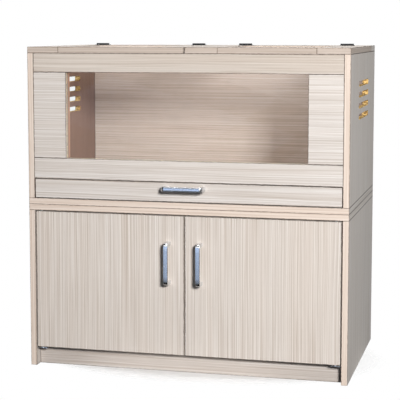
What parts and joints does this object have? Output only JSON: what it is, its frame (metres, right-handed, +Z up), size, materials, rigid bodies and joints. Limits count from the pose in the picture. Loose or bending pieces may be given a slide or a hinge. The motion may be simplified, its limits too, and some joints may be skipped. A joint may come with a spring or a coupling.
{
  "type": "hamster cage",
  "caption": "Wooden hamster cage with a glazed front, side vents, hinged mesh lids and a pull-out tray, standing on a two-door cabinet.",
  "frame": {"origin": "on the floor, under the middle of the bounding box of the whole cage with its handles", "axes": "+X to the viewer's right, +Y from the front to the back, +Z up"},
  "size_m": [0.8, 0.51, 0.8053],
  "materials": {
    "laminate_board": "satin laminate with fine grain",
    "hardboard": "matt",
    "beech": "raw",
    "clear_acrylic": "clear",
    "satin_handle": "satin chrome",
    "black_hinge": "black lacquer",
    "mesh_steel": "galvanised",
    "zinc_steel": "zinc plated",
    "white_plastic": "moulded"
  },
  "bodies": {
    "carcass": {"cabinet_left_side": "laminate_board", "cabinet_right_side": "laminate_board", "cabinet_top": "laminate_board", "cabinet_bottom": "laminate_board", "cabinet_back": "hardboard", "plinth_front": "laminate_board", "plinth_back": "laminate_board", "door_pivot_plates": "zinc_steel", "door_catches": "white_plastic", "cage_floor": "laminate_board", "cage_left_side": "laminate_board", "cage_right_side": "laminate_board", "cage_back": "laminate_board", "front_top_rail": "laminate_board", "front_lower_rail": "laminate_board", "front_left_stile": "laminate_board", "front_right_stile": "laminate_board", "window_battens": "laminate_board", "window_pane": "clear_acrylic", "top_back_rail": "laminate_board", "joining_screws": "zinc_steel", "cam_fittings": "zinc_steel", "dowels": "beech", "hinge_base_leaves": "black_hinge", "hinge_pins": "black_hinge", "small_screws": "zinc_steel"},
    "drawer": {"drawer_front": "laminate_board", "drawer_left_side": "laminate_board", "drawer_right_side": "laminate_board", "drawer_back": "laminate_board", "drawer_bottom": "hardboard", "drawer_glides": "white_plastic", "drawer_handle": "satin_handle", "drawer_handle_screws": "zinc_steel"},
    "left_cabinet_door": {"left_door": "laminate_board", "left_door_bushes": "white_plastic", "left_door_handle": "satin_handle", "left_door_handle_screws": "zinc_steel", "left_door_strike": "zinc_steel"},
    "left_lid": {"left_lid_left_stile": "laminate_board", "left_lid_right_stile": "laminate_board", "left_lid_front_rail": "laminate_board", "left_lid_back_rail": "laminate_board", "left_lid_mesh": "mesh_steel", "left_lid_staples": "zinc_steel", "left_lid_hinge_leaves": "black_hinge", "left_lid_hinge_screws": "zinc_steel"},
    "right_cabinet_door": {"right_door": "laminate_board", "right_door_bushes": "white_plastic", "right_door_handle": "satin_handle", "right_door_handle_screws": "zinc_steel", "right_door_strike": "zinc_steel"},
    "right_lid": {"right_lid_left_stile": "laminate_board", "right_lid_right_stile": "laminate_board", "right_lid_front_rail": "laminate_board", "right_lid_back_rail": "laminate_board", "right_lid_mesh": "mesh_steel", "right_lid_staples": "zinc_steel", "right_lid_hinge_leaves": "black_hinge", "right_lid_hinge_screws": "zinc_steel"}
  },
  "joints": [
    {"name": "left_door_hinge", "type": "hinge", "parent": "carcass", "child": "left_cabinet_door", "pos_m": [-0.37049, -0.2165, 0.22], "axis": [0, 0, -1], "range_deg": [0, 110]},
    {"name": "right_door_hinge", "type": "hinge", "parent": "carcass", "child": "right_cabinet_door", "pos_m": [0.37049, -0.2165, 0.22], "axis": [0, 0, 1], "range_deg": [0, 110]},
    {"name": "drawer_slide", "type": "slide", "parent": "carcass", "child": "drawer", "axis": [0, -1, 0], "range_m": [0, 0.35]},
    {"name": "left_lid_hinge", "type": "hinge", "parent": "carcass", "child": "left_lid", "pos_m": [-0.2, 0.174, 0.8028], "axis": [-1, 0, 0], "range_deg": [0, 110]},
    {"name": "right_lid_hinge", "type": "hinge", "parent": "carcass", "child": "right_lid", "pos_m": [0.2, 0.174, 0.8028], "axis": [-1, 0, 0], "range_deg": [0, 110]}
  ]
}
